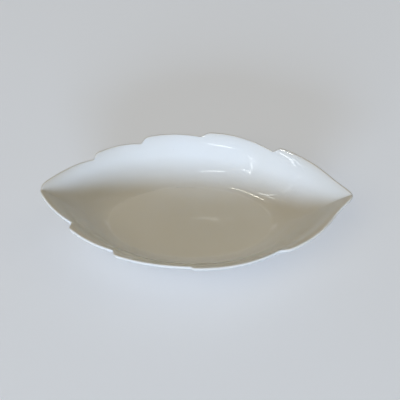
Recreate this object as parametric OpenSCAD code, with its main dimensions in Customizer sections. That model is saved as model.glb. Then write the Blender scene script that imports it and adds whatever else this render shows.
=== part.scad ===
// Deep serving dish in the shape of a serrated leaf, with an oval well and a foot ring.
// X runs along the leaf from the left tip to the right tip, Y runs from the near side
// to the far side, and Z is up from the table that the foot ring stands on.

/* [Leaf] */
// Length from tip to tip
leaf_length = 300; // [260:1:360]
// Width of the smooth leaf that the lobes stand on
leaf_width = 158; // [130:1:190]
// Height of the rim beside the well, above the table
rim_height = 54.5; // [44:0.5:68]
// How much higher the two tips stand than the rim beside the well
tip_rise = 7.5; // [0:0.5:15]

/* [Lobes] */
// Length over which each tip is rounded off
tip_round = 4; // [2:0.5:6]
// Length of rim that rounds the hollow corner at the end of a lobe
notch_round = 1.6; // [1:0.1:3]
// Length of rim that rounds the shoulder at the start of a lobe
shoulder_round = 3.2; // [2.6:0.1:5]

/* [Well] */
// Length of the flat oval floor
well_length = 162; // [140:1:180]
// Width of the flat oval floor
well_width = 83; // [74:1:96]
// How far the middle of the floor lies towards the left tip
well_shift = 6.5; // [0:0.5:12]

/* [Wall] */
// Thickness of the floor
floor_thickness = 4; // [3:0.25:6]
// Thickness of the wall above the floor
wall_thickness = 4; // [3:0.25:5]
// Thickness of the rounded lip
lip_thickness = 4.4; // [3.2:0.1:5.2]

/* [Foot ring] */
// Height of the foot ring
foot_height = 5; // [4.5:0.25:8]
// Length of the foot ring over its outside
foot_length = 146; // [120:1:156]
// Width of the foot ring over its outside
foot_width = 68; // [56:1:74]
// Thickness of the foot ring above its rounded tread
foot_tread = 4; // [3.2:0.1:5]
// Radius of the hollow that flares the ring into the floor
root_flare = 1.8; // [0.8:0.1:2.4]
// Radius of the rounded edges of the tread
tread_round = 1.3; // [0.6:0.1:1.5]
// Depth that is ground off the tread to make it flat
tread_cut = 0.2; // [0.1:0.05:0.4]

/* [Hidden] */

half_length = leaf_length / 2;
half_width = leaf_width / 2;
well_half_length = well_length / 2;
well_half_width = well_width / 2;
floor_top = foot_height + floor_thickness;
rim_rise = rim_height - floor_top;

// Each contour between the floor and the rim is a curve of the form
// half width = b * (1 - (x / a) ^ power) ^ bend, from an ellipse to a pointed leaf
well_power = 2;
leaf_power = 2.45;
well_bend = 0.5;
leaf_bend = 1;

// The rim lifts towards the tips by this power of the distance from the middle
tip_power = 5;

// Shares of the wall's run where its hollow foot ends and where its flare starts, and of
// its mean slope at the edge of the floor and at the rim. It is straight in between
hollow_share = 0.45;
flare_share = 0.73;
edge_slope_share = 0.13;
rim_slope_share = 0.52;
steep = (1 - edge_slope_share * hollow_share / 2 - rim_slope_share * (1 - flare_share) / 2)
      / (0.5 + flare_share / 2 - hollow_share / 2);

// The wall's thickness changes to that of the lip by this power of the way up
lip_power = 3;

// The lobes of each side from the left tip to the right tip: where the lobe starts and
// ends, in shares of the half length, and how far the rim stands outside the smooth
// leaf at its start, middle and end, in shares of the leaf's width
far_lobe_shares = [
    [-1.000, -0.686, 0.032, 0.015, -0.020],
    [-0.681, -0.381, 0.010, -0.003, -0.027],
    [-0.356, 0.023, 0.001, -0.001, -0.015],
    [0.068, 0.509, 0.006, -0.002, -0.030],
    [0.553, 1.000, 0.006, 0.017, 0.013]
];
near_lobe_shares = [
    [-1.000, -0.780, 0.027, 0.025, -0.020],
    [-0.796, -0.508, 0.053, 0.027, -0.014],
    [-0.499, -0.019, 0.030, 0.004, 0.001],
    [-0.005, 0.529, 0.016, 0.002, -0.028],
    [0.572, 1.000, 0.009, 0.038, 0.028]
];

// Just before the right tip the rim is drawn in, more on the near side than on the far
far_pinch_share = 0.009;
near_pinch_share = 0.029;
pinch_place_share = 0.905;
pinch_spread_share = 0.07;

// Share of the step between two lobes that its hollow corner takes, before the shoulder
notch_step_share = 0.4;

// Steps of the mesh: along a lobe, round a corner, up the wall, over the lip
lobe_steps = 11;
corner_steps = 4;
inner_rows = 11;
outer_rows = 10;
lip_steps = 6;
row_power = 1.3;
bisections = 18;
probe = leaf_length / 3000;
overrun = floor_thickness / 4;

function mix(a, b, share) = a + (b - a) * share;
function clip(value) = min(max(value, 0), 1);

// Half width of the contour at a level: 0 at the edge of the floor, 1 at the smooth leaf
function contour(x, level) =
    let (a = mix(well_half_length, half_length, level),
         b = mix(well_half_width, half_width, level),
         reach = abs(x + well_shift * (1 - level)) / a,
         power = mix(well_power, leaf_power, clip(level)),
         bend = mix(well_bend, leaf_bend, clip(level)))
    reach > 1 ? -1 : b * pow(1 - pow(reach, power), bend);

// Level of a place in plan, found by halving
function level_at(x, y, low = 0, high = 2, turns = bisections) =
    let (middle = (low + high) / 2)
    turns == 0 ? middle
    : contour(x, middle) >= y ? level_at(x, y, low, middle, turns - 1)
    : level_at(x, y, middle, high, turns - 1);

// Share of the wall's height that is reached at a level
function climb(level) =
    let (at_hollow = (steep + edge_slope_share) * hollow_share / 2,
         at_flare = at_hollow + steep * (flare_share - hollow_share),
         past = level - flare_share)
    level < hollow_share ? edge_slope_share * level
        + (steep - edge_slope_share) * level * level / (2 * hollow_share)
    : level < flare_share ? at_hollow + steep * (level - hollow_share)
    : level < 1 ? at_flare + steep * past
        - (steep - rim_slope_share) * past * past / (2 * (1 - flare_share))
    : 1 + rim_slope_share * (level - 1);

// Height of the dish's inside at a place in plan
function inside_z(x, y) =
    floor_top + (rim_rise + tip_rise * pow(abs(x) / half_length, tip_power))
    * climb(level_at(x, abs(y)));

// Length of the inside's slope per unit of plan
function stretch_at(x, y) =
    let (along = (inside_z(x + probe, y) - inside_z(x - probe, y)) / (2 * probe),
         across = (inside_z(x, abs(y) + probe) - inside_z(x, y)) / probe)
    sqrt(1 + along * along + across * across);

// Rim of one lobe: its outermost edge at x, as a distance from the leaf's middle line
function lobe_y(lobe, x, pinch) =
    let (place = x / half_length,
         s = (place - lobe[0]) / (lobe[1] - lobe[0]),
         off = lobe[2] * 2 * (s - 0.5) * (s - 1) + lobe[3] * 4 * s * (1 - s)
             + lobe[4] * 2 * s * (s - 0.5),
         away = (place - pinch_place_share) / pinch_spread_share)
    half_width * (1 - pow(min(abs(place), 1), leaf_power))
    + leaf_width * (off - pinch * exp(-away * away));

function lobe_point(lobe, x, pinch) = [x, lobe_y(lobe, x, pinch)];
function lobe_start(lobe, pinch) = lobe_point(lobe, lobe[0] * half_length, pinch);
function lobe_end(lobe, pinch) = lobe_point(lobe, lobe[1] * half_length, pinch);

// A corner of the rim, rounded from point a to point b
function rounded(a, corner, b, first = 0) = [
    for (k = [first : corner_steps])
        let (s = k / corner_steps)
        a * (1 - s) * (1 - s) + corner * 2 * s * (1 - s) + b * s * s
];

// The open part of a lobe between its rounded ends
function lobe_run(lobe, start, end, pinch) = [
    for (k = [1 : lobe_steps - 1])
        lobe_point(lobe, mix(start, end, k / lobe_steps), pinch)
];

function first_x(lobes, k) = lobes[k][0] * half_length + (k == 0 ? tip_round : shoulder_round);
function last_x(lobes, k) =
    lobes[k][1] * half_length - (k == len(lobes) - 1 ? tip_round : notch_round);

// The step from a lobe to the next: a hollow corner, then a round shoulder
function step(lobes, k, pinch) =
    let (low = lobe_end(lobes[k], pinch),
         high = lobe_start(lobes[k + 1], pinch),
         middle = mix(low, high, notch_step_share))
    concat(
        rounded(lobe_point(lobes[k], last_x(lobes, k), pinch), low, middle),
        rounded(middle, high, lobe_point(lobes[k + 1], first_x(lobes, k + 1), pinch), 1)
    );

function tip(x, corner, joint) = rounded([x, 0], corner, joint);
function reversed(points) = [for (k = [len(points) - 1 : -1 : 0]) points[k]];

// One side of the rim from the left tip to the right tip
function rim_side(lobes, pinch) =
    let (last = len(lobes) - 1)
    concat(
        tip(-half_length, lobe_start(lobes[0], pinch),
            lobe_point(lobes[0], first_x(lobes, 0), pinch)),
        [for (k = [0 : last])
            each concat(
                lobe_run(lobes[k], first_x(lobes, k), last_x(lobes, k), pinch),
                k < last ? step(lobes, k, pinch) : []
            )],
        reversed(tip(half_length, lobe_end(lobes[last], pinch),
            lobe_point(lobes[last], last_x(lobes, last), pinch)))
    );

// How far along a line of points each one lies, from 0 to 1
function run_lengths(points, k = 1, sums = [0]) =
    k == len(points) ? sums
    : run_lengths(points, k + 1, concat(sums, [sums[k - 1] + norm(points[k] - points[k - 1])]));
function run_shares(points) =
    let (sums = run_lengths(points))
    [for (sum = sums) sum / sums[len(sums) - 1]];

far_side = rim_side(far_lobe_shares, far_pinch_share);
near_side = rim_side(near_lobe_shares, near_pinch_share);
far_shares = run_shares(far_side);
near_shares = run_shares(near_side);

// The whole rim seen from above, clockwise from the left tip, and beside each of its
// points the place on the edge of the floor that the wall rises from
rim = concat(
    [for (k = [0 : len(far_side) - 1]) far_side[k]],
    [for (k = [len(near_side) - 2 : -1 : 1]) [near_side[k].x, -near_side[k].y]]
);
rim_turns = concat(
    [for (share = far_shares) 180 * (1 - share)],
    [for (k = [len(near_shares) - 2 : -1 : 1]) 180 * (near_shares[k] - 1)]
);
columns = len(rim);
floor_edge = [
    for (turn = rim_turns)
        [well_half_length * cos(turn) - well_shift, well_half_width * sin(turn)]
];

// The rim's inward direction at each point
function inward(k) =
    let (along = rim[(k + 1) % columns] - rim[(k + columns - 1) % columns])
    [along.y, -along.x] / norm(along);

// Keeps the middle of the whole outline on the origin
rim_far = max([for (p = rim) p.y]);
rim_near = min([for (p = rim) p.y]);
centring = [0, -(rim_far + rim_near) / 2, 0];

// One section of the shell: up the inside, over the lip and down the outside
function section(k) =
    let (edge = rim[k],
         inset = inward(k) * lip_thickness / 2,
         foot = floor_edge[k],
         top = edge + inset,
         lip_drop = lip_thickness * stretch_at(top.x, top.y))
    concat(
        [for (j = [0 : inner_rows])
            let (p = mix(foot, top, pow(j / inner_rows, row_power)))
            [p.x, p.y, j == 0 ? floor_top : inside_z(p.x, p.y)]],
        [for (j = [1 : lip_steps - 1])
            let (turn = 90 - 180 * j / lip_steps, p = edge + inset * (1 - cos(turn)))
            [p.x, p.y, inside_z(p.x, p.y) - lip_drop * (1 - sin(turn)) / 2]],
        [for (j = [outer_rows : -1 : 0])
            let (share = pow(j / outer_rows, row_power),
                 p = mix(foot, top, share),
                 body = mix(floor_thickness, wall_thickness, share),
                 thick = mix(body, lip_thickness, pow(share, lip_power)))
            [p.x, p.y, j == 0 ? foot_height : j == outer_rows ? inside_z(p.x, p.y) - lip_drop
                : inside_z(p.x, p.y) - thick * stretch_at(p.x, p.y)]]
    );

rings = inner_rows + lip_steps + outer_rows + 1;

// Glazed body of the dish: floor, wall and lip in one shell
module leaf_shell() {
    points = concat(
        [for (k = [0 : columns - 1]) each section(k)],
        [[-well_shift, 0, floor_top], [-well_shift, 0, foot_height]]
    );
    floor_middle = columns * rings;
    base_middle = floor_middle + 1;
    faces = [
        for (k = [0 : columns - 1])
            let (a = k * rings, b = ((k + 1) % columns) * rings)
            each concat(
                [for (j = [0 : rings - 2]) each [
                    [a + j, a + j + 1, b + j + 1],
                    [a + j, b + j + 1, b + j]
                ]],
                [[floor_middle, a, b], [base_middle, b + rings - 1, a + rings - 1]]
            )
    ];
    color("whitesmoke")
        translate(centring)
            polyhedron(points = points, faces = faces, convexity = 6);
}

// The foot ring is swept along an oval. Its section, as distances outward from the
// middle of the ring and heights, runs from the root on the outside round the tread
foot_half_length = (foot_length - foot_tread) / 2 - root_flare;
foot_half_width = (foot_width - foot_tread) / 2 - root_flare;
half_tread = foot_tread / 2;
foot_columns = 88;
arc_steps = 3;
outer_flank = concat(
    [[half_tread + root_flare, foot_height + overrun]],
    [for (k = [0 : arc_steps])
        let (turn = 90 * k / arc_steps)
        [half_tread + root_flare * (1 - sin(turn)), foot_height - root_flare * (1 - cos(turn))]],
    [for (k = [0 : arc_steps])
        let (turn = 90 * k / arc_steps)
        [half_tread - tread_round * (1 - cos(turn)), tread_round * (1 - sin(turn)) - tread_cut]]
);
foot_section = concat(
    outer_flank,
    [for (k = [len(outer_flank) - 1 : -1 : 0]) [-outer_flank[k].x, outer_flank[k].y]]
);
foot_points = len(foot_section);

// Unglazed ring under the floor that the dish stands on, ground flat below
module foot_ring() {
    points = [
        for (k = [0 : foot_columns - 1])
            let (turn = -360 * k / foot_columns,
                 place = [foot_half_length * cos(turn), foot_half_width * sin(turn)],
                 normal = [foot_half_width * cos(turn), foot_half_length * sin(turn)],
                 out = normal / norm(normal))
            for (p = foot_section) [place.x + out.x * p.x, place.y + out.y * p.x, p.y]
    ];
    faces = [
        for (k = [0 : foot_columns - 1], j = [0 : foot_points - 1])
            let (a = k * foot_points, b = ((k + 1) % foot_columns) * foot_points,
                 next = (j + 1) % foot_points)
            each [[a + j, b + j, b + next], [a + j, b + next, a + next]]
    ];
    color("linen")
        translate(centring - [well_shift, 0, 0])
            intersection() {
                polyhedron(points = points, faces = faces, convexity = 4);
                translate([-foot_length, -foot_width, 0])
                    cube([2 * foot_length, 2 * foot_width, foot_height]);
            }
}

leaf_shell();
foot_ring();
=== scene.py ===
# %% [markdown]
# # A leaf shaped serving dish, dressed for its photograph
#
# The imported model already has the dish's true sizes. This notebook gives it its looks: a
# finely modelled porcelain shell with a clear glossy glaze, and the bare foot ring that it
# was fired on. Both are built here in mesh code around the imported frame, which is loaded
# first. Everything is in metres: X runs from the left tip to the right tip, Y from the
# near side to the far side, and Z up from the table.

# %% Load the frame
import math

import bmesh
import bpy
from mathutils import Matrix, Vector


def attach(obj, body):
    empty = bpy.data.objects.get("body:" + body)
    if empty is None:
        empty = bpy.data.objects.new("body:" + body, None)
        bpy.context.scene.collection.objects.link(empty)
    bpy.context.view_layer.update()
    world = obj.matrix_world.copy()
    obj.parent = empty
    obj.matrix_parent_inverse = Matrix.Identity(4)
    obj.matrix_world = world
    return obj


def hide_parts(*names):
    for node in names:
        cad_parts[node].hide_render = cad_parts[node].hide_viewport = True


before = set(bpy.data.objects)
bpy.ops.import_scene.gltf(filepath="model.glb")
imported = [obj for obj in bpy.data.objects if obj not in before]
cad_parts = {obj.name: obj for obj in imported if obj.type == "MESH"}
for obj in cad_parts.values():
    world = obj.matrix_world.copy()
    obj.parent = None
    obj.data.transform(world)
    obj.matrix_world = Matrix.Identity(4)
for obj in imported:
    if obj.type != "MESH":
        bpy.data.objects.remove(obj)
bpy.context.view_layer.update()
scene = bpy.context.scene
scene.view_settings.view_transform = "Standard"
MM = 0.001

# %% [markdown]
# ## Camera
#
# The photograph looks down on the dish from the front, 55.5 degrees above the table and a
# little to the right. A camera can be placed by four facts: the point that it circles, its
# distance, its two angles, and its focal length in pixels. The lens follows from the focal
# length and the width of the picture. The picture's middle lies a few pixels beside that
# point, so the aim turns by the same few pixels, which keeps the lens unshifted.

# %% Camera
PHOTO_SIDE = 400
FOCAL_PIXELS = 879.8
SENSOR_WIDTH = 36
camera_target = Vector((0, 0, 52.5 * MM))
camera_distance = 850 * MM
camera_rise = math.radians(55.5)
camera_swing = math.radians(1.6)
target_pixel = (196.3, 197.9)

camera_back = Vector((math.sin(camera_swing) * math.cos(camera_rise),
                      -math.cos(camera_swing) * math.cos(camera_rise),
                      math.sin(camera_rise)))
camera_right = Vector((math.cos(camera_swing), math.sin(camera_swing), 0))
camera_up = camera_right.cross(-camera_back)
aim = (-camera_back
       + camera_right * (PHOTO_SIDE / 2 - target_pixel[0]) / FOCAL_PIXELS
       - camera_up * (PHOTO_SIDE / 2 - target_pixel[1]) / FOCAL_PIXELS)

lens = bpy.data.cameras.new("photo_camera")
lens.sensor_width = SENSOR_WIDTH
lens.lens = FOCAL_PIXELS / PHOTO_SIDE * SENSOR_WIDTH
camera = bpy.data.objects.new("photo_camera", lens)
camera.location = camera_target + camera_back * camera_distance
camera.rotation_euler = aim.to_track_quat("-Z", "Y").to_euler()
scene.collection.objects.link(camera)
scene.camera = camera
print("Lens of %.1f mm at" % lens.lens, [round(c, 3) for c in camera.location])

# %% [markdown]
# ## The dish's inside as a formula
#
# A plaster mould gives such a dish smooth walls, and a smooth wall is easiest to describe
# by its contours, as on a map. The lowest contour is the oval edge of the flat floor, the
# highest is a pointed leaf, and those between change from one to the other. A place's
# level, 0 at the floor and 1 at the leaf, then gives its height: the wall leaves the floor
# in a wide hollow, steepens, and flares out again towards the rim.

# %% Sizes of the leaf and its wall
HALF_LENGTH = 150 * MM
HALF_WIDTH = 79 * MM
WELL_HALF_LENGTH = 81 * MM
WELL_HALF_WIDTH = 41.5 * MM
WELL_SHIFT = 6.5 * MM
FOOT_HEIGHT = 5 * MM
FLOOR_THICKNESS = 4 * MM
WALL_THICKNESS = 4 * MM
LIP_THICKNESS = 4.4 * MM
FLOOR_TOP = FOOT_HEIGHT + FLOOR_THICKNESS
RIM_RISE = 54.5 * MM - FLOOR_TOP
TIP_RISE = 7.5 * MM
LEAF_POWER = 2.45
TIP_POWER = 5
EDGE_SLOPE_SHARE = 0.13
HOLLOW_SHARE = 0.45
FLARE_SHARE = 0.73
RIM_SLOPE_SHARE = 0.52
STEEP = ((1 - EDGE_SLOPE_SHARE * HOLLOW_SHARE / 2 - RIM_SLOPE_SHARE * (1 - FLARE_SHARE) / 2)
         / (0.5 + FLARE_SHARE / 2 - HOLLOW_SHARE / 2))
TOP_LEVEL = 2
HALVINGS = 22
PROBE = 0.1 * MM


def mix(a, b, share):
    return a + (b - a) * share


def clip(value):
    return min(max(value, 0), 1)


def contour(x, level):
    """Half width of the contour at a level, or -1 beyond its ends.

    An ellipse has the powers 2 and 0.5, and the pointed leaf has LEAF_POWER and 1."""
    reach = abs(x + WELL_SHIFT * (1 - level)) / mix(WELL_HALF_LENGTH, HALF_LENGTH, level)
    if reach > 1:
        return -1
    power = mix(2, LEAF_POWER, clip(level))
    bend = mix(0.5, 1, clip(level))
    return mix(WELL_HALF_WIDTH, HALF_WIDTH, level) * (1 - reach ** power) ** bend


def level_at(x, y):
    """Level of a place seen from above, found by halving."""
    low, high = 0, TOP_LEVEL
    for _ in range(HALVINGS):
        middle = (low + high) / 2
        if contour(x, middle) >= y:
            high = middle
        else:
            low = middle
    return (low + high) / 2


def climb(level):
    """Share of the wall's height that is reached at a level."""
    at_hollow = (STEEP + EDGE_SLOPE_SHARE) * HOLLOW_SHARE / 2
    at_flare = at_hollow + STEEP * (FLARE_SHARE - HOLLOW_SHARE)
    past = level - FLARE_SHARE
    if level < HOLLOW_SHARE:
        return (EDGE_SLOPE_SHARE * level
                + (STEEP - EDGE_SLOPE_SHARE) * level * level / (2 * HOLLOW_SHARE))
    if level < FLARE_SHARE:
        return at_hollow + STEEP * (level - HOLLOW_SHARE)
    if level < 1:
        return (at_flare + STEEP * past
                - (STEEP - RIM_SLOPE_SHARE) * past * past / (2 * (1 - FLARE_SHARE)))
    return 1 + RIM_SLOPE_SHARE * (level - 1)


def inside_z(x, y):
    """Height of the dish's inside at a place seen from above."""
    lift = TIP_RISE * (abs(x) / HALF_LENGTH) ** TIP_POWER
    return FLOOR_TOP + (RIM_RISE + lift) * climb(level_at(x, abs(y)))


def stretch_at(x, y):
    """Length of the inside's slope for each unit seen from above."""
    along = (inside_z(x + PROBE, y) - inside_z(x - PROBE, y)) / (2 * PROBE)
    across = (inside_z(x, abs(y) + PROBE) - inside_z(x, y)) / PROBE
    return math.sqrt(1 + along * along + across * across)


print("Inside height over the middle line, mm:",
      [round(inside_z(x * HALF_LENGTH, 0) / MM, 1) for x in (-0.9, -0.7, -0.5, 0, 0.5, 0.7, 0.9)])

# %% [markdown]
# ## The lobed rim
#
# Each side of the rim has five lobes that overlap like the teeth of a leaf. Each one steps
# out where it starts and sinks back towards the smooth leaf where it ends. A lobe is
# a short row of numbers, read off the photograph: where it starts and ends, and how far it
# stands out at its start, its middle and its end. A hollow corner and a round shoulder
# join two lobes, because a mould can't cast a sharp one and glaze softens it further.
# Near the right tip both sides pinch in a little.

# %% Rim seen from above
FAR_LOBES = [
    (-1.000, -0.686, 0.032, 0.015, -0.020),
    (-0.681, -0.381, 0.010, -0.003, -0.027),
    (-0.356, 0.023, 0.001, -0.001, -0.015),
    (0.068, 0.509, 0.006, -0.002, -0.030),
    (0.553, 1.000, 0.006, 0.017, 0.013),
]
NEAR_LOBES = [
    (-1.000, -0.780, 0.027, 0.025, -0.020),
    (-0.796, -0.508, 0.053, 0.027, -0.014),
    (-0.499, -0.019, 0.030, 0.004, 0.001),
    (-0.005, 0.529, 0.016, 0.002, -0.028),
    (0.572, 1.000, 0.009, 0.038, 0.028),
]
FAR_PINCH = 0.009
NEAR_PINCH = 0.029
PINCH_PLACE = 0.905
PINCH_SPREAD = 0.07
TIP_ROUND = 4 * MM
NOTCH_ROUND = 1.6 * MM
SHOULDER_ROUND = 3.2 * MM
NOTCH_STEP = 0.4
LOBE_STEPS = 30
CORNER_STEPS = 10


def lobe_point(lobe, x, pinch):
    """The rim's outermost edge at x, on one lobe."""
    start, end, at_start, at_middle, at_end = lobe
    place = x / HALF_LENGTH
    s = (place - start) / (end - start)
    off = (at_start * 2 * (s - 0.5) * (s - 1) + at_middle * 4 * s * (1 - s)
           + at_end * 2 * s * (s - 0.5))
    away = (place - PINCH_PLACE) / PINCH_SPREAD
    leaf = HALF_WIDTH * (1 - min(abs(place), 1) ** LEAF_POWER)
    return Vector((x, leaf + 2 * HALF_WIDTH * (off - pinch * math.exp(-away * away))))


def rounded(a, corner, b, first=0):
    """A corner of the rim, rounded from point a to point b."""
    shares = [k / CORNER_STEPS for k in range(first, CORNER_STEPS + 1)]
    return [a * (1 - s) ** 2 + corner * 2 * s * (1 - s) + b * s * s for s in shares]


def rim_side(lobes, pinch):
    """One side of the rim from the left tip to the right tip."""
    first, last = lobes[0], lobes[-1]
    points = rounded(Vector((-HALF_LENGTH, 0)), lobe_point(first, -HALF_LENGTH, pinch),
                     lobe_point(first, TIP_ROUND - HALF_LENGTH, pinch))
    for k, lobe in enumerate(lobes):
        start = lobe[0] * HALF_LENGTH + (TIP_ROUND if k == 0 else SHOULDER_ROUND)
        end = lobe[1] * HALF_LENGTH - (TIP_ROUND if lobe is last else NOTCH_ROUND)
        points += [lobe_point(lobe, mix(start, end, step / LOBE_STEPS), pinch)
                   for step in range(1, LOBE_STEPS)]
        if lobe is last:
            points += rounded(Vector((HALF_LENGTH, 0)), lobe_point(last, HALF_LENGTH, pinch),
                              lobe_point(last, end, pinch))[::-1]
        else:
            after = lobes[k + 1]
            low = lobe_point(lobe, lobe[1] * HALF_LENGTH, pinch)
            high = lobe_point(after, after[0] * HALF_LENGTH, pinch)
            middle = low.lerp(high, NOTCH_STEP)
            shoulder_end = lobe_point(after, after[0] * HALF_LENGTH + SHOULDER_ROUND, pinch)
            points += rounded(lobe_point(lobe, end, pinch), low, middle)
            points += rounded(middle, high, shoulder_end, 1)
    return points


def run_shares(points):
    """How far along a line of points each one lies, from 0 to 1."""
    sums = [0]
    for a, b in zip(points, points[1:]):
        sums.append(sums[-1] + (b - a).length)
    return [s / sums[-1] for s in sums]


far_side = rim_side(FAR_LOBES, FAR_PINCH)
near_side = rim_side(NEAR_LOBES, NEAR_PINCH)
rim = far_side + [Vector((p.x, -p.y)) for p in near_side[-2:0:-1]]
turns = ([math.pi * (1 - s) for s in run_shares(far_side)]
         + [math.pi * (s - 1) for s in run_shares(near_side)[-2:0:-1]])
floor_edge = [Vector((WELL_HALF_LENGTH * math.cos(turn) - WELL_SHIFT,
                      WELL_HALF_WIDTH * math.sin(turn))) for turn in turns]
columns = len(rim)
rim_low, rim_high = min(p.y for p in rim), max(p.y for p in rim)
centring = -(rim_high + rim_low) / 2
print("Rim of %d points, %.1f mm wide" % (columns, (rim_high - rim_low) / MM))

# %% [markdown]
# ## Growing the shell, ring by ring
#
# The shell is one skin that goes up the inside, over the lip and down the outside. Its
# skin is grown as a potter builds a wall: a ring of points starts as a plain circle, moves
# to the floor's edge, and is extruded again and again, each new ring moving to its place.
# A few short tools do this, and the foot ring uses them too.

# %% Ring tools
def loop_edges(mesh, ring):
    """The edges along a closed ring of vertices."""
    return [mesh.edges.get((a, b)) for a, b in zip(ring, ring[1:] + ring[:1])]


def moved(ring, places):
    """The same ring, after its vertices have moved to their places."""
    for vert, place in zip(ring, places):
        vert.co = place
    return ring


def new_ring(mesh, places):
    """A first ring of vertices, from a circle."""
    circle = bmesh.ops.create_circle(mesh, segments=len(places), radius=HALF_LENGTH)
    return moved(circle["verts"], places)


def grown_ring(mesh, ring, places):
    """Extrudes a closed ring of vertices and moves the new one to its places."""
    fresh = set(bmesh.ops.extrude_edge_only(mesh, edges=loop_edges(mesh, ring))["geom"])
    return moved([next(e.other_vert(v) for e in v.link_edges if e.other_vert(v) in fresh)
                  for v in ring], places)


def finished(mesh, name, node):
    """Turns a bmesh into a smooth piece that rides on the body, and hides the CAD node it takes
    the place of.
    """
    bmesh.ops.recalc_face_normals(mesh, faces=mesh.faces)
    data = bpy.data.meshes.new(name)
    mesh.to_mesh(data)
    mesh.free()
    data.polygons.foreach_set("use_smooth", [True] * len(data.polygons))
    piece = bpy.data.objects.new(name, data)
    scene.collection.objects.link(piece)
    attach(piece, "root")
    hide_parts(node)
    low, high = [[round(f(v.co[i] for v in data.vertices) / MM, 2) for i in range(3)]
                 for f in (min, max)]
    print(name, "has", len(data.polygons), "faces, from", low, "to", high, "mm")
    return piece


# %% [markdown]
# The wall's thickness is measured square to its slope, so a steep place drops further to
# the outside than a flat one. The last rings draw together in the middle of the floor and
# of the base, and a narrow bevel softens the edge between floor and wall, which glaze
# never leaves sharp. Two attributes keep what the material needs to know later: how near
# the lip a point is, where glaze runs thin, and how near the floor's edge, where the
# material paints a thin whiter line as a painted highlight.

# %% Leaf shell
INNER_ROWS = 40
LIP_STEPS = 12
OUTER_ROWS = 26
FLOOR_ROWS = 12
ROW_POWER = 1.3
FLOOR_ROW_POWER = 1.5
LIP_GROWTH_POWER = 3
INSET_POINTS = 4
FLOOR_EDGE_SOFT = 0.7 * MM
FLOOR_EDGE_STEPS = 4
LIP_FROM_LEVEL = 0.9
LIP_LEVELS = 0.12
EDGE_LEVEL = 0.02
EDGE_LEVELS = 0.025


def inset_of(k):
    """From the rim's outermost edge to the crest of the lip, square to a few rim points."""
    along = rim[(k + INSET_POINTS) % columns] - rim[k - INSET_POINTS]
    return Vector((along.y, -along.x)).normalized() * LIP_THICKNESS / 2


def placed(point, z):
    """A point of the plan at its height, with the outline's middle over the origin."""
    return Vector((point.x, point.y + centring, z))


insets = [inset_of(k) for k in range(columns)]
crests = [rim[k] + insets[k] for k in range(columns)]
lip_drops = [LIP_THICKNESS * stretch_at(p.x, p.y) for p in crests]

shell = bmesh.new()
floor_ring = new_ring(shell, [placed(p, FLOOR_TOP) for p in floor_edge])
ring = floor_ring
for row in range(1, INNER_ROWS + 1):
    share = ((row + 1) / (INNER_ROWS + 1)) ** ROW_POWER
    points = [floor_edge[k].lerp(crests[k], share) for k in range(columns)]
    ring = grown_ring(shell, ring, [placed(p, inside_z(p.x, p.y)) for p in points])
for step in range(1, LIP_STEPS):
    turn = math.pi * (0.5 - step / LIP_STEPS)
    points = [rim[k] + insets[k] * (1 - math.cos(turn)) for k in range(columns)]
    ring = grown_ring(shell, ring, [
        placed(p, inside_z(p.x, p.y) - lip_drops[k] * (1 - math.sin(turn)) / 2)
        for k, p in enumerate(points)])
for row in range(OUTER_ROWS, 0, -1):
    share = (row / OUTER_ROWS) ** ROW_POWER
    wall = mix(FLOOR_THICKNESS, WALL_THICKNESS, share)
    thick = mix(wall, LIP_THICKNESS, share ** LIP_GROWTH_POWER)
    points = [floor_edge[k].lerp(crests[k], share) for k in range(columns)]
    ring = grown_ring(shell, ring, [
        placed(p, inside_z(p.x, p.y) - thick * stretch_at(p.x, p.y)) for p in points])
base_ring = grown_ring(shell, ring, [placed(p, FOOT_HEIGHT) for p in floor_edge])

for first, height in ((floor_ring, FLOOR_TOP), (base_ring, FOOT_HEIGHT)):
    inner = first
    middle = Vector((-WELL_SHIFT, centring, height))
    for row in range(1, FLOOR_ROWS):
        share = (row / FLOOR_ROWS) ** FLOOR_ROW_POWER
        inner = grown_ring(shell, inner, [v.co.lerp(middle, share) for v in first])
    last = grown_ring(shell, inner, [middle] * columns)
    bmesh.ops.pointmerge(shell, verts=last, merge_co=middle)

bmesh.ops.bevel(shell, geom=loop_edges(shell, floor_ring), offset=FLOOR_EDGE_SOFT,
                segments=FLOOR_EDGE_STEPS, profile=0.5, affect="EDGES", material=-1)

near_lip = shell.verts.layers.float.new("near_lip")
near_floor_edge = shell.verts.layers.float.new("near_floor_edge")
for vert in shell.verts:
    x, y = vert.co.x, vert.co.y - centring
    level = level_at(x, abs(y))
    vert[near_lip] = clip((level - LIP_FROM_LEVEL) / LIP_LEVELS)
    if level > 0 and vert.co.z > inside_z(x, y) - LIP_THICKNESS / 2:
        vert[near_floor_edge] = math.exp(-((level - EDGE_LEVEL) / EDGE_LEVELS) ** 2)
leaf_shell = finished(shell, "leaf_shell_glazed", "leaf_shell")

# %% [markdown]
# ## Foot ring
#
# The dish stands on a low oval ring under its floor. A potter rounds its tread, lets its
# root flare into the floor so that it doesn't crack in firing, and grinds the tread flat
# so that it doesn't scratch a table. The same ring tool grows it: one ring of points for
# each step round its section, offset outwards along the oval.

# %% Foot ring
FOOT_HALF_LENGTH = 69.2 * MM
FOOT_HALF_WIDTH = 30.2 * MM
HALF_TREAD = 2 * MM
ROOT_FLARE = 1.8 * MM
TREAD_ROUND = 1.3 * MM
TREAD_CUT = 0.2 * MM
ROOT_BURY = 0.4 * MM
FOOT_COLUMNS = 360
FLANK_STEPS = 8


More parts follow.
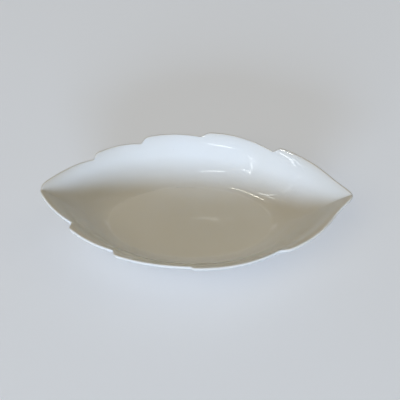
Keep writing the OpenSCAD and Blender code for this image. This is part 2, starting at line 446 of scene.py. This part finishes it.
def foot_places(out, z):
    """A ring of places beside the oval's middle line, by a distance outwards and a height."""
    places = []
    for k in range(FOOT_COLUMNS):
        turn = 2 * math.pi * k / FOOT_COLUMNS
        cos, sin = math.cos(turn), math.sin(turn)
        centre = Vector((FOOT_HALF_LENGTH * cos - WELL_SHIFT, FOOT_HALF_WIDTH * sin + centring, z))
        outward = Vector((FOOT_HALF_WIDTH * cos, FOOT_HALF_LENGTH * sin, 0)).normalized()
        places.append(centre + outward * out)
    return places


quarter = [math.pi / 2 * step / FLANK_STEPS for step in range(FLANK_STEPS + 1)]
flank = ([(HALF_TREAD + ROOT_FLARE, FOOT_HEIGHT + ROOT_BURY)]
         + [(HALF_TREAD + ROOT_FLARE * (1 - math.sin(turn)),
             FOOT_HEIGHT - ROOT_FLARE * (1 - math.cos(turn))) for turn in quarter]
         + [(HALF_TREAD - TREAD_ROUND * (1 - math.cos(turn)),
             max(TREAD_ROUND * (1 - math.sin(turn)) - TREAD_CUT, 0)) for turn in quarter])
section = flank + [(-out, z) for out, z in reversed(flank)]

foot = bmesh.new()
root_ring = new_ring(foot, foot_places(*section[0]))
ring = root_ring
for out, z in section[1:]:
    ring = grown_ring(foot, ring, foot_places(out, z))
bmesh.ops.bridge_loops(foot, edges=loop_edges(foot, root_ring) + loop_edges(foot, ring))
foot_ring = finished(foot, "foot_ring_bare", "foot_ring")

# %% [markdown]
# ## Material tools
#
# A colour is written as a designer reads it off a screen, in sRGB hex, and Blender
# calculates in linear light, so one function turns the one into the other. One more
# function adds a node with its settings and its links, and a few short ones use it for
# the nodes that come again and again. Patterns read Object coordinates, which are metres
# here, so a noise with details of a given size in millimetres has a scale of 1000 over
# that size.

# %% Material tools
def linear(hex_colour):
    """An sRGB hex colour as linear red, green, blue and alpha."""
    channels = [int(hex_colour[i:i + 2], 16) / 255 for i in (0, 2, 4)]
    return [c / 12.92 if c <= 0.04045 else ((c + 0.055) / 1.055) ** 2.4 for c in channels] + [1]


def add(tree, kind, inputs=None, **settings):
    """Adds a node with its settings, and sets or links its inputs."""
    made = tree.nodes.new(kind)
    for name, value in settings.items():
        setattr(made, name, value)
    for name, value in (inputs or {}).items():
        if isinstance(value, bpy.types.NodeSocket):
            tree.links.new(value, made.inputs[name])
        else:
            made.inputs[name].default_value = value
    return made


def new_material(name):
    """A material and its empty node tree."""
    material = bpy.data.materials.new(name)
    material.use_nodes = True
    material.node_tree.nodes.clear()
    return material, material.node_tree


def size_mm(size):
    """The scale of a pattern whose details have this size."""
    return 1000 / size


def noise(tree, place, size, detail):
    """A cloudy pattern with details of a size in millimetres."""
    return add(tree, "ShaderNodeTexNoise", {"Vector": place, "Scale": size_mm(size),
                                            "Detail": detail}).outputs["Fac"]


def ramp(tree, value, low, high, at_low=0, at_high=1):
    """Runs from at_low to at_high while its value runs from low to high."""
    return add(tree, "ShaderNodeMapRange", {
        "Value": value, "From Min": low, "From Max": high,
        "To Min": at_low, "To Max": at_high}).outputs["Result"]


def calculated(tree, operation, a, b):
    return add(tree, "ShaderNodeMath", {0: a, 1: b}, operation=operation).outputs["Value"]


def blend(tree, share, a, b):
    """A colour between two others."""
    return add(tree, "ShaderNodeMix", {"Factor": share, "A": a, "B": b},
               data_type="RGBA").outputs["Result"]


def seen(tree):
    """1 for sight, mirror and transmission rays, and 0 for rays that carry light."""
    rays = add(tree, "ShaderNodeLightPath").outputs
    mirrored = calculated(tree, "MAXIMUM", rays["Is Camera Ray"], rays["Is Glossy Ray"])
    return calculated(tree, "MAXIMUM", mirrored, rays["Is Transmission Ray"])


# %% [markdown]
# ## Glaze
#
# Clear glaze over white porcelain: the dish is dipped raw in a glass slurry and fired, and
# the melt settles into a coat of about 0.2 mm. To the eye this is a white body, bright and
# a little warm, under a sharp gloss. The coat isn't quite even. It is warmer and softer in
# its gloss where it thins over the lip, and its skin swims in waves of a few centimetres
# with a faint orange peel on top, which makes the highlights waver. A thin whiter line
# round the floor's edge is a painted highlight. A few specks of iron burn through, as in
# most kilns.

# %% Glaze material
GLASS_IOR = 1.5
EDGE_HIGHLIGHT_SHARE = 0.5
THIN_SHARE = 0.4
SPECK_CELL = 6
SPECK_CORE, SPECK_EDGE = 0.03, 0.055
SPECK_CHOICE = 0.75
SPECK_SHARE = 0.45
GLOSS_SHARP, GLOSS_SOFT = 0.02, 0.04
LIP_MATT_FROM = 0.8
LIP_MATT = 0.3
SWIM_DEPTH = 0.06 * MM
PEEL_DEPTH = 0.002 * MM

glaze, tree = new_material("porcelain_clear_glaze")
place = add(tree, "ShaderNodeTexCoord").outputs["Object"]
clouds = noise(tree, place, 45, 3)
clouded = blend(tree, clouds, linear("f0ede5"), linear("f4f3f0"))
# Painted highlight: a thin whiter line in the colour round the floor's edge
floor_edge_highlight = add(tree, "ShaderNodeAttribute", attribute_name="near_floor_edge").outputs["Fac"]
floor_edge_highlight_share = calculated(tree, "MULTIPLY", floor_edge_highlight, EDGE_HIGHLIGHT_SHARE)
floor_edge_lit = blend(tree, floor_edge_highlight_share, clouded, linear("fbfaf6"))
thin = add(tree, "ShaderNodeAttribute", attribute_name="near_lip").outputs["Fac"]
thin_share = calculated(tree, "MULTIPLY", thin, THIN_SHARE)
edged = blend(tree, thin_share, floor_edge_lit, linear("f1e8d8"))
cells = add(tree, "ShaderNodeTexVoronoi", {"Vector": place, "Scale": size_mm(SPECK_CELL)})
speck = ramp(tree, cells.outputs["Distance"], SPECK_CORE, SPECK_EDGE, 1, 0)
cell_colour = add(tree, "ShaderNodeSeparateColor", {"Color": cells.outputs["Color"]})
picked = calculated(tree, "GREATER_THAN", cell_colour.outputs["Red"], SPECK_CHOICE)
speck_picked = calculated(tree, "MULTIPLY", speck, picked)
speck_soft = calculated(tree, "MULTIPLY", speck_picked, SPECK_SHARE)
specked = blend(tree, speck_soft, edged, linear("8a7763"))
film_gloss = ramp(tree, noise(tree, place, 14, 4), 0.3, 0.7, GLOSS_SHARP, GLOSS_SOFT)
lip_matt = ramp(tree, thin, LIP_MATT_FROM, 1, 0, LIP_MATT)
swim_bump = add(tree, "ShaderNodeBump", {"Height": noise(tree, place, 32, 1), "Strength": 1,
                                         "Distance": SWIM_DEPTH})
peel_bump = add(tree, "ShaderNodeBump", {"Height": noise(tree, place, 3.5, 1), "Strength": 1,
                                         "Distance": PEEL_DEPTH,
                                         "Normal": swim_bump.outputs["Normal"]})
surface = add(tree, "ShaderNodeBsdfPrincipled", {
    "Base Color": specked, "Roughness": calculated(tree, "ADD", film_gloss, lip_matt),
    "IOR": GLASS_IOR, "Normal": peel_bump.outputs["Normal"]})
add(tree, "ShaderNodeOutputMaterial", {"Surface": surface.outputs["BSDF"]})
leaf_shell.data.materials.append(glaze)
print("Glaze of", len(tree.nodes), "nodes")

# %% [markdown]
# ## Bare foot
#
# Fired porcelain without glaze is called bisque: matt, a little warmer than the glazed
# body and faintly gritty, as its skin was sponged before firing. The glaze stops in
# a wavy line just below the root, where it was wiped off, and the clay beside that line
# blushes warm from the kiln. The tread has been ground and rubbed, so it is smoother and
# a little greyer.

# %% Bisque material
LINE_LOW, LINE_HIGH = 3.3 * MM, 3.55 * MM
LINE_WAVE = 0.6 * MM
BLUSH_FROM = 1.9 * MM
BLUSH_SHARE = 0.55
RUBBED_LOW, RUBBED_HIGH = 0.05 * MM, 0.5 * MM
RUBBED_SHARE = 0.4
BARE_MATT, RUBBED_MATT, GLAZED_MATT = 0.8, 0.55, 0.07
GRIT_DEPTH = 0.06 * MM

bisque, tree = new_material("porcelain_bare_bisque")
place = add(tree, "ShaderNodeTexCoord").outputs["Object"]
height = add(tree, "ShaderNodeSeparateXYZ", {"Vector": place}).outputs["Z"]
wander = ramp(tree, noise(tree, place, 11, 3), 0.25, 0.75, -LINE_WAVE, LINE_WAVE)
wavy = calculated(tree, "ADD", height, wander)
glazed = ramp(tree, wavy, LINE_LOW, LINE_HIGH)
blush = ramp(tree, wavy, BLUSH_FROM, LINE_LOW)
rubbed = ramp(tree, height, RUBBED_LOW, RUBBED_HIGH, 1, 0)
grit = noise(tree, place, 0.7, 3)
clay = blend(tree, grit, linear("d8ccb8"), linear("e6decf"))
blush_share = calculated(tree, "MULTIPLY", blush, BLUSH_SHARE)
blushed = blend(tree, blush_share, clay, linear("dcb994"))
rub_share = calculated(tree, "MULTIPLY", rubbed, RUBBED_SHARE)
worn = blend(tree, rub_share, blushed, linear("b9b0a3"))
footed = blend(tree, glazed, worn, linear("ece9e1"))
matt = ramp(tree, rubbed, 0, 1, BARE_MATT, RUBBED_MATT)
foot_matt = add(tree, "ShaderNodeMix", {"Factor": glazed, "A": matt, "B": GLAZED_MATT},
                data_type="FLOAT")
grit_bump = add(tree, "ShaderNodeBump", {"Height": calculated(tree, "MAXIMUM", grit, glazed),
                                         "Strength": 1, "Distance": GRIT_DEPTH})
surface = add(tree, "ShaderNodeBsdfPrincipled", {
    "Base Color": footed, "Roughness": foot_matt.outputs["Result"],
    "IOR": GLASS_IOR, "Normal": grit_bump.outputs["Normal"]})
add(tree, "ShaderNodeOutputMaterial", {"Surface": surface.outputs["BSDF"]})
foot_ring.data.materials.append(bisque)
print("Bisque of", len(tree.nodes), "nodes")

# %% [markdown]
# ## Floor
#
# A plain pale sweep, wide enough to fill the picture from any side, keeps the shadow of
# the dish. It is a little darker than the glaze, so that the white rim stands out. Part
# of its paleness is a glow that only sight, mirror and transmission rays find, so it
# stays even and adds no light to the dish.

# %% Floor
FLOOR_HALF_SIDE = 6
PAPER_MATT = 0.9
PAPER_GLOW = 0.39

sweep = bmesh.new()
bmesh.ops.create_grid(sweep, x_segments=1, y_segments=1, size=FLOOR_HALF_SIDE)
data = bpy.data.meshes.new("pale_floor")
sweep.to_mesh(data)
sweep.free()
floor = bpy.data.objects.new("pale_floor", data)
scene.collection.objects.link(floor)
paper, tree = new_material("pale_matt_paper")
surface = add(tree, "ShaderNodeBsdfPrincipled", {"Base Color": linear("b2b4b6"),
                                                 "Roughness": PAPER_MATT})
glow_share = calculated(tree, "MULTIPLY", seen(tree), PAPER_GLOW)
glow = add(tree, "ShaderNodeEmission", {"Color": linear("f4f8ff"), "Strength": glow_share})
paper.cycles.emission_sampling = "NONE"
both = add(tree, "ShaderNodeAddShader", {0: surface.outputs["BSDF"], 1: glow.outputs["Emission"]})
add(tree, "ShaderNodeOutputMaterial", {"Surface": both.outputs["Shader"]})
floor.data.materials.append(paper)
print("Floor of %d m by %d m" % (2 * FLOOR_HALF_SIDE, 2 * FLOOR_HALF_SIDE))

# %% [markdown]
# ## Light
#
# In the photograph a cool light comes in low over the near rim, from the front and the
# left. It reaches only the far wall, so that the floor lies in a soft warm shade, and the
# shadow of the near rim draws the dark edge across the far wall. A dim sky, a little
# brighter towards the back, keeps that shade open. To sight, mirror and transmission rays
# the room looks as pale as the floor.

# %% Room
SKY_FRONT = (0.07, 0.065, 0.055, 1)
SKY_BACK = (0.12, 0.115, 0.09, 1)
SKY_TURN = 0.8

world = bpy.data.worlds.new("warm_studio")
scene.world = world
world.use_nodes = True
tree = world.node_tree
tree.nodes.clear()
direction = add(tree, "ShaderNodeTexCoord").outputs["Generated"]
depth = add(tree, "ShaderNodeSeparateXYZ", {"Vector": direction}).outputs["Y"]
sky = blend(tree, ramp(tree, depth, -SKY_TURN, SKY_TURN), SKY_FRONT, SKY_BACK)
room = blend(tree, seen(tree), sky, linear("b9bbbd"))
glow = add(tree, "ShaderNodeBackground", {"Color": room, "Strength": 1})
add(tree, "ShaderNodeOutputWorld", {"Surface": glow.outputs["Background"]})
print("Room of", len(tree.nodes), "nodes")

# %% [markdown]
# Two wide windows give the cool light, one above the other. Warm lamps high on the two
# sides and a faint one behind fill the shade. The short highlights are mirror images of
# narrow bright things that light nothing else, so their lamps stay out of the diffuse
# light. The wall has the same slope twice, once in its flare and once in its hollow, so
# a narrow lamp can show in both. Two bars behind the dish are mirrored only by the soft
# edge of the floor, which they draw as a faint line.

# %% Lamps
LAMP_DISTANCE = 3.2
dish_middle = Vector((0, 0, 30 * MM))
COOL = (0.59, 0.75, 1.0)
WHITE = (0.95, 0.98, 1.0)
WARM = (1.0, 0.95, 0.8)
CREAM = (1.0, 0.84, 0.56)
PALE = (1.0, 0.95, 0.78)

# Each row has a lamp's name, its two ends by azimuth and elevation in degrees, its height
# in degrees, its brightness in watts for each square metre and its colour
DISH_LAMPS = [
    ("window_low", (-25, 12), (5, 12), 8, 65, COOL),
    ("window_high", (-25, 19.5), (5, 19.5), 7, 77, COOL),
    ("overhead_left", (-75, 55), (-25, 55), 40, 5.6, CREAM),
    ("overhead_right", (92, 52), (128, 52), 30, 3.5, PALE),
    ("behind", (150, 22), (190, 22), 14, 1.8, PALE),
]
HIGHLIGHT_LAMPS = [
    ("strip_front", (-3.8, 16.9), (-15.8, 15.3), 2, 24, WHITE),
    ("strip_left_top", (-26.2, 12.7), (-33, 12.2), 0.16, 12, WHITE),
    ("strip_left_side", (-29.8, 12), (-32.5, 11.1), 0.35, 14, WHITE),
    ("strip_left_foot", (-25.5, 10.78), (-31.9, 10.85), 0.16, 28, WHITE),
    ("strip_side", (-49.5, 42.8), (-56.5, 36), 3.6, 22, WHITE),
    ("strip_side_leg", (-55, 37), (-57.2, 25), 1.8, 16, WHITE),
    ("strip_side_knee", (-58.5, 42), (-62, 33.5), 1.8, 16, WHITE),
    ("strip_side_low", (-59, 11.6), (-60.4, 11.55), 0.8, 9, WHITE),
    ("strip_warm_near", (-33, 64), (-51, 62.8), 3, 46, WARM),
    ("strip_warm_far", (-51, 62.4), (-69.5, 58.4), 3.4, 64, WARM),
    ("strip_right", (67.8, 16), (61.4, 38), 0.8, 12, WHITE),
    ("strip_back", (-177.2, 56.5), (175.9, 56.45), 0.07, 9, WHITE),
    ("bar_high", (150, 65), (-150, 65), 5, 5, WHITE),
    ("bar_low", (-155, 48.5), (155, 48.5), 4, 4, WHITE),
]


def towards(azimuth, elevation):
    """A place on the lamps' sphere, by degrees from the front towards the right, and up."""
    a, e = math.radians(azimuth), math.radians(elevation)
    return dish_middle + LAMP_DISTANCE * Vector((
        math.sin(a) * math.cos(e), -math.cos(a) * math.cos(e), math.sin(e)))


def lamp(name, left_end, right_end, height_degrees, brightness, colour, mirrored):
    """A rectangular lamp between two places on the sphere, facing the dish.

    A mirrored lamp only shows in the glaze, and the others only light the dish."""
    left, right = towards(*left_end), towards(*right_end)
    middle = (left + right) / 2
    back = (middle - dish_middle).normalized()
    along = (right - left).normalized()
    up = back.cross(along).normalized()
    light = bpy.data.lights.new(name, "AREA")
    light.shape = "RECTANGLE"
    light.size = (right - left).length
    light.size_y = LAMP_DISTANCE * math.radians(height_degrees)
    light.energy = brightness * light.size * light.size_y
    light.color = colour
    obj = bpy.data.objects.new(name, light)
    turned = Matrix((along, up, back)).transposed().to_4x4()
    obj.matrix_world = Matrix.Translation(middle) @ turned
    obj.visible_camera = False
    obj.visible_glossy = mirrored
    obj.visible_diffuse = not mirrored
    scene.collection.objects.link(obj)


for row in DISH_LAMPS:
    lamp(*row, mirrored=False)
for row in HIGHLIGHT_LAMPS:
    lamp(*row, mirrored=True)
print("Lamps for the whole dish:", len(DISH_LAMPS), "and for highlights:", len(HIGHLIGHT_LAMPS))
